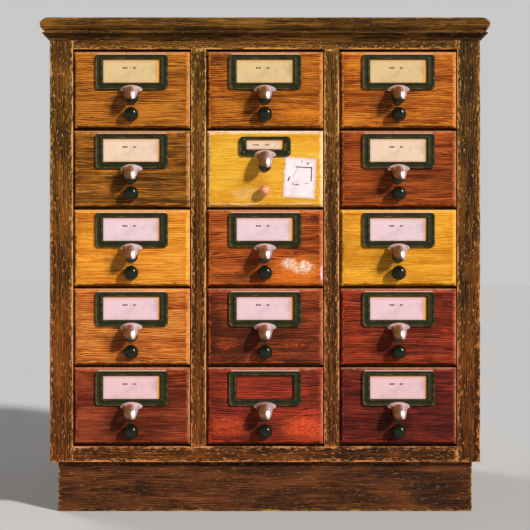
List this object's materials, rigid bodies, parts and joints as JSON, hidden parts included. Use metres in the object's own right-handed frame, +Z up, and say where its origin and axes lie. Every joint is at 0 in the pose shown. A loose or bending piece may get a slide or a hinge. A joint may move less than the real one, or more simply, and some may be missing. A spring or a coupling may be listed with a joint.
{
  "type": "card catalog cabinet",
  "caption": "Free-standing card catalog cabinet with rows of sliding card trays, each with a label holder, a hooded pull, a removable card rod and a follower block.",
  "frame": {"origin": "centre of the bounding box at floor level", "axes": "+Z up, -Y to the front of the trays, +X to the viewer's right"},
  "size_m": [0.619, 0.4602, 0.6845],
  "materials": {
    "carcase_oak": "aged varnished oak, worn",
    "inner_wood": "bare aged wood",
    "oak_orange_brown": "aged varnished oak, worn edges",
    "oak_golden_brown": "aged varnished oak, worn edges",
    "oak_dark_brown": "aged varnished oak, worn edges",
    "oak_yellow": "faded varnished oak, worn edges",
    "oak_red_brown": "aged varnished oak, worn edges",
    "oak_orange_red": "aged varnished oak, worn edges",
    "oak_dark_red": "aged varnished oak, worn edges",
    "dark_brass": "dark patina",
    "bright_nickel": "worn plating",
    "rod_steel": "satin",
    "knob_wood": "turned, worn",
    "label_paper": "aged card"
  },
  "bodies": {
    "carcase": {"left_side_panel": "carcase_oak", "right_side_panel": "carcase_oak", "top_board": "carcase_oak", "base_board": "carcase_oak", "back_panel": "inner_wood", "column_partitions": "carcase_oak", "front_frame": "carcase_oak", "tray_shelves": "inner_wood", "stop_battens": "inner_wood", "plinth": "carcase_oak"},
    "tray_r1c1": {"tray_r1c1": "oak_orange_brown"},
    "rod_r1c1": {"rod_r1c1": "rod_steel"},
    "follower_r1c1": {"follower_r1c1": "inner_wood"},
    "tray_r1c2": {"tray_r1c2": "oak_golden_brown", "pull_r1c2": "dark_brass"},
    "rod_r1c2": {"rod_r1c2": "rod_steel"},
    "follower_r1c2": {"follower_r1c2": "inner_wood"},
    "tray_r1c3": {"tray_r1c3": "oak_orange_brown"},
    "rod_r1c3": {"rod_r1c3": "rod_steel"},
    "follower_r1c3": {"follower_r1c3": "inner_wood"},
    "tray_r2c1": {"tray_r2c1": "oak_dark_brown"},
    "rod_r2c1": {"rod_r2c1": "rod_steel"},
    "follower_r2c1": {"follower_r2c1": "inner_wood"},
    "tray_r2c2": {"tray_r2c2": "oak_yellow", "pull_r2c2": "dark_brass"},
    "rod_r2c2": {"rod_r2c2": "rod_steel"},
    "follower_r2c2": {"follower_r2c2": "inner_wood"},
    "tray_r2c3": {"tray_r2c3": "oak_red_brown"},
    "rod_r2c3": {"rod_r2c3": "rod_steel"},
    "follower_r2c3": {"follower_r2c3": "inner_wood"},
    "tray_r3c1": {"tray_r3c1": "oak_golden_brown"},
    "rod_r3c1": {"rod_r3c1": "rod_steel"},
    "follower_r3c1": {"follower_r3c1": "inner_wood"},
    "tray_r3c2": {"tray_r3c2": "oak_orange_red", "pull_r3c2": "dark_brass"},
    "rod_r3c2": {"rod_r3c2": "rod_steel"},
    "follower_r3c2": {"follower_r3c2": "inner_wood"},
    "tray_r3c3": {"tray_r3c3": "oak_yellow"},
    "rod_r3c3": {"rod_r3c3": "rod_steel"},
    "follower_r3c3": {"follower_r3c3": "inner_wood"},
    "tray_r4c1": {"tray_r4c1": "oak_orange_brown"},
    "rod_r4c1": {"rod_r4c1": "rod_steel"},
    "follower_r4c1": {"follower_r4c1": "inner_wood"},
    "tray_r4c2": {"tray_r4c2": "oak_red_brown", "pull_r4c2": "dark_brass"},
    "rod_r4c2": {"rod_r4c2": "rod_steel"},
    "follower_r4c2": {"follower_r4c2": "inner_wood"},
    "tray_r4c3": {"tray_r4c3": "oak_orange_red"},
    "rod_r4c3": {"rod_r4c3": "rod_steel"},
    "follower_r4c3": {"follower_r4c3": "inner_wood"},
    "tray_r5c1": {"tray_r5c1": "oak_dark_red"},
    "rod_r5c1": {"rod_r5c1": "rod_steel"},
    "follower_r5c1": {"follower_r5c1": "inner_wood"},
    "tray_r5c2": {"tray_r5c2": "oak_orange_red", "pull_r5c2": "dark_brass"},
    "rod_r5c2": {"rod_r5c2": "rod_steel"},
    "follower_r5c2": {"follower_r5c2": "inner_wood"},
    "tray_r5c3": {"tray_r5c3": "oak_dark_red"},
    "rod_r5c3": {"rod_r5c3": "rod_steel"},
    "follower_r5c3": {"follower_r5c3": "inner_wood"}
  },
  "joints": [
    {"name": "tray_slide_r1c1", "type": "slide", "parent": "carcase", "child": "tray_r1c1", "axis": [0, -1, 0], "range_m": [0, 0.34]},
    {"name": "rod_slide_r1c1", "type": "slide", "parent": "tray_r1c1", "child": "rod_r1c1", "axis": [0, -1, 0], "range_m": [0, 0.4]},
    {"name": "follower_slide_r1c1", "type": "slide", "parent": "tray_r1c1", "child": "follower_r1c1", "axis": [0, -1, 0], "range_m": [0, 0.28]},
    {"name": "tray_slide_r1c2", "type": "slide", "parent": "carcase", "child": "tray_r1c2", "axis": [0, -1, 0], "range_m": [0, 0.34]},
    {"name": "rod_slide_r1c2", "type": "slide", "parent": "tray_r1c2", "child": "rod_r1c2", "axis": [0, -1, 0], "range_m": [0, 0.4]},
    {"name": "follower_slide_r1c2", "type": "slide", "parent": "tray_r1c2", "child": "follower_r1c2", "axis": [0, -1, 0], "range_m": [0, 0.28]},
    {"name": "tray_slide_r1c3", "type": "slide", "parent": "carcase", "child": "tray_r1c3", "axis": [0, -1, 0], "range_m": [0, 0.34]},
    {"name": "rod_slide_r1c3", "type": "slide", "parent": "tray_r1c3", "child": "rod_r1c3", "axis": [0, -1, 0], "range_m": [0, 0.4]},
    {"name": "follower_slide_r1c3", "type": "slide", "parent": "tray_r1c3", "child": "follower_r1c3", "axis": [0, -1, 0], "range_m": [0, 0.28]},
    {"name": "tray_slide_r2c1", "type": "slide", "parent": "carcase", "child": "tray_r2c1", "axis": [0, -1, 0], "range_m": [0, 0.34]},
    {"name": "rod_slide_r2c1", "type": "slide", "parent": "tray_r2c1", "child": "rod_r2c1", "axis": [0, -1, 0], "range_m": [0, 0.4]},
    {"name": "follower_slide_r2c1", "type": "slide", "parent": "tray_r2c1", "child": "follower_r2c1", "axis": [0, -1, 0], "range_m": [0, 0.28]},
    {"name": "tray_slide_r2c2", "type": "slide", "parent": "carcase", "child": "tray_r2c2", "axis": [0, -1, 0], "range_m": [0, 0.34]},
    {"name": "rod_slide_r2c2", "type": "slide", "parent": "tray_r2c2", "child": "rod_r2c2", "axis": [0, -1, 0], "range_m": [0, 0.4]},
    {"name": "follower_slide_r2c2", "type": "slide", "parent": "tray_r2c2", "child": "follower_r2c2", "axis": [0, -1, 0], "range_m": [0, 0.28]},
    {"name": "tray_slide_r2c3", "type": "slide", "parent": "carcase", "child": "tray_r2c3", "axis": [0, -1, 0], "range_m": [0, 0.34]},
    {"name": "rod_slide_r2c3", "type": "slide", "parent": "tray_r2c3", "child": "rod_r2c3", "axis": [0, -1, 0], "range_m": [0, 0.4]},
    {"name": "follower_slide_r2c3", "type": "slide", "parent": "tray_r2c3", "child": "follower_r2c3", "axis": [0, -1, 0], "range_m": [0, 0.28]},
    {"name": "tray_slide_r3c1", "type": "slide", "parent": "carcase", "child": "tray_r3c1", "axis": [0, -1, 0], "range_m": [0, 0.34]},
    {"name": "rod_slide_r3c1", "type": "slide", "parent": "tray_r3c1", "child": "rod_r3c1", "axis": [0, -1, 0], "range_m": [0, 0.4]},
    {"name": "follower_slide_r3c1", "type": "slide", "parent": "tray_r3c1", "child": "follower_r3c1", "axis": [0, -1, 0], "range_m": [0, 0.28]},
    {"name": "tray_slide_r3c2", "type": "slide", "parent": "carcase", "child": "tray_r3c2", "axis": [0, -1, 0], "range_m": [0, 0.34]},
    {"name": "rod_slide_r3c2", "type": "slide", "parent": "tray_r3c2", "child": "rod_r3c2", "axis": [0, -1, 0], "range_m": [0, 0.4]},
    {"name": "follower_slide_r3c2", "type": "slide", "parent": "tray_r3c2", "child": "follower_r3c2", "axis": [0, -1, 0], "range_m": [0, 0.28]},
    {"name": "tray_slide_r3c3", "type": "slide", "parent": "carcase", "child": "tray_r3c3", "axis": [0, -1, 0], "range_m": [0, 0.34]},
    {"name": "rod_slide_r3c3", "type": "slide", "parent": "tray_r3c3", "child": "rod_r3c3", "axis": [0, -1, 0], "range_m": [0, 0.4]},
    {"name": "follower_slide_r3c3", "type": "slide", "parent": "tray_r3c3", "child": "follower_r3c3", "axis": [0, -1, 0], "range_m": [0, 0.28]},
    {"name": "tray_slide_r4c1", "type": "slide", "parent": "carcase", "child": "tray_r4c1", "axis": [0, -1, 0], "range_m": [0, 0.34]},
    {"name": "rod_slide_r4c1", "type": "slide", "parent": "tray_r4c1", "child": "rod_r4c1", "axis": [0, -1, 0], "range_m": [0, 0.4]},
    {"name": "follower_slide_r4c1", "type": "slide", "parent": "tray_r4c1", "child": "follower_r4c1", "axis": [0, -1, 0], "range_m": [0, 0.28]},
    {"name": "tray_slide_r4c2", "type": "slide", "parent": "carcase", "child": "tray_r4c2", "axis": [0, -1, 0], "range_m": [0, 0.34]},
    {"name": "rod_slide_r4c2", "type": "slide", "parent": "tray_r4c2", "child": "rod_r4c2", "axis": [0, -1, 0], "range_m": [0, 0.4]},
    {"name": "follower_slide_r4c2", "type": "slide", "parent": "tray_r4c2", "child": "follower_r4c2", "axis": [0, -1, 0], "range_m": [0, 0.28]},
    {"name": "tray_slide_r4c3", "type": "slide", "parent": "carcase", "child": "tray_r4c3", "axis": [0, -1, 0], "range_m": [0, 0.34]},
    {"name": "rod_slide_r4c3", "type": "slide", "parent": "tray_r4c3", "child": "rod_r4c3", "axis": [0, -1, 0], "range_m": [0, 0.4]},
    {"name": "follower_slide_r4c3", "type": "slide", "parent": "tray_r4c3", "child": "follower_r4c3", "axis": [0, -1, 0], "range_m": [0, 0.28]},
    {"name": "tray_slide_r5c1", "type": "slide", "parent": "carcase", "child": "tray_r5c1", "axis": [0, -1, 0], "range_m": [0, 0.34]},
    {"name": "rod_slide_r5c1", "type": "slide", "parent": "tray_r5c1", "child": "rod_r5c1", "axis": [0, -1, 0], "range_m": [0, 0.4]},
    {"name": "follower_slide_r5c1", "type": "slide", "parent": "tray_r5c1", "child": "follower_r5c1", "axis": [0, -1, 0], "range_m": [0, 0.28]},
    {"name": "tray_slide_r5c2", "type": "slide", "parent": "carcase", "child": "tray_r5c2", "axis": [0, -1, 0], "range_m": [0, 0.34]},
    {"name": "rod_slide_r5c2", "type": "slide", "parent": "tray_r5c2", "child": "rod_r5c2", "axis": [0, -1, 0], "range_m": [0, 0.4]},
    {"name": "follower_slide_r5c2", "type": "slide", "parent": "tray_r5c2", "child": "follower_r5c2", "axis": [0, -1, 0], "range_m": [0, 0.28]},
    {"name": "tray_slide_r5c3", "type": "slide", "parent": "carcase", "child": "tray_r5c3", "axis": [0, -1, 0], "range_m": [0, 0.34]},
    {"name": "rod_slide_r5c3", "type": "slide", "parent": "tray_r5c3", "child": "rod_r5c3", "axis": [0, -1, 0], "range_m": [0, 0.4]},
    {"name": "follower_slide_r5c3", "type": "slide", "parent": "tray_r5c3", "child": "follower_r5c3", "axis": [0, -1, 0], "range_m": [0, 0.28]}
  ]
}
